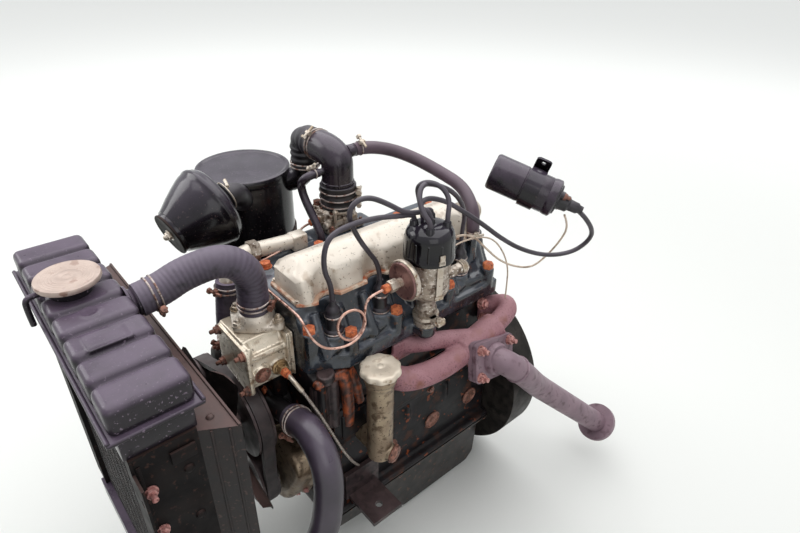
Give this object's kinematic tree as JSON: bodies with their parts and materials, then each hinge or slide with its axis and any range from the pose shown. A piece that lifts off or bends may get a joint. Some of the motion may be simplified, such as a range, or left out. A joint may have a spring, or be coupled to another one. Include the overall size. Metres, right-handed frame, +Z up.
{
  "type": "petrol engine unit with radiator",
  "caption": "Inline petrol engine unit with side exhaust, upright distributor, belt-driven fan, cowled radiator, canister air cleaner and ignition coil.",
  "frame": {"origin": "on the crankshaft's axis, in the rear face of the flywheel housing", "axes": "+Y along the crankshaft towards the flywheel end, +Z up, +X towards the exhaust side"},
  "size_m": [0.6586, 0.9218, 0.7279],
  "materials": {
    "head_paint": "satin",
    "block_paint": "satin",
    "cover_paint": "satin",
    "black_paint": "gloss",
    "worn_black_paint": "matt",
    "rust": "matt",
    "pipe_steel": "matt",
    "bare_steel": "satin",
    "dark_steel": "satin",
    "alloy": "satin",
    "plated_steel": "satin",
    "brass": "satin",
    "copper": "satin",
    "black_rubber": "satin",
    "hose_rubber": "matt",
    "cap_plastic": "gloss",
    "black_plastic": "matt"
  },
  "bodies": {
    "engine": {"cylinder_block": "block_paint", "sump": "worn_black_paint", "timing_cover": "alloy", "flywheel_housing": "alloy", "cylinder_head": "head_paint", "rocker_cover": "cover_paint", "valve_side_cover": "block_paint", "exhaust_manifold": "rust", "exhaust_front_pipe": "pipe_steel", "carburettor": "alloy", "air_elbow": "black_paint", "intake_hoses": "black_rubber", "air_cleaner": "black_paint", "pre_cleaner": "worn_black_paint", "air_cleaner_bracket": "worn_black_paint", "thermostat_housing": "head_paint", "thermostat_outlet": "alloy", "water_pump": "block_paint", "coolant_hoses": "hose_rubber", "hose_clips": "bare_steel", "heater_pipe": "pipe_steel", "distributor_body": "alloy", "distributor_cap": "cap_plastic", "vacuum_unit": "plated_steel", "spark_plugs": "black_rubber", "plug_leads": "black_plastic", "ignition_coil": "black_paint", "coil_bracket": "bare_steel", "thin_wires": "black_plastic", "copper_pipes": "copper", "gauge_capillary": "brass", "oil_filler_tube": "worn_black_paint", "oil_filler_cap": "dark_steel", "oil_filter": "worn_black_paint", "breather_hose": "black_rubber", "breather_filter": "plated_steel", "dynamo": "worn_black_paint", "dynamo_bracket": "bare_steel", "starter_motor": "worn_black_paint", "engine_feet": "dark_steel", "drive_belt": "black_rubber", "radiator_frame": "black_paint", "header_tank": "black_paint", "bottom_tank": "black_paint", "radiator_core": "worn_black_paint", "fan_cowl": "worn_black_paint", "radiator_cap": "plated_steel"},
    "crank": {"crankshaft": "dark_steel", "crank_pulley": "dark_steel", "flywheel": "dark_steel"},
    "fan": {"fan": "worn_black_paint", "pump_pulley": "dark_steel"},
    "dynamo_rotor": {"dynamo_pulley": "dark_steel"}
  },
  "joints": [
    {"name": "crank_spin", "type": "hinge", "parent": "engine", "child": "crank", "pos_m": [0, -0.2, 0], "axis": [0, 1, 0], "continuous": true},
    {"name": "fan_spin", "type": "hinge", "parent": "engine", "child": "fan", "pos_m": [0, -0.53, 0.134], "axis": [0, 1, 0], "continuous": true},
    {"name": "dynamo_spin", "type": "hinge", "parent": "engine", "child": "dynamo_rotor", "pos_m": [-0.155, -0.5, 0.098], "axis": [0, 1, 0], "continuous": true}
  ],
  "couplings": [
    {"joint": "fan_spin", "follows": "crank_spin", "ratio": 0.83333},
    {"joint": "dynamo_spin", "follows": "crank_spin", "ratio": 1.4706}
  ]
}
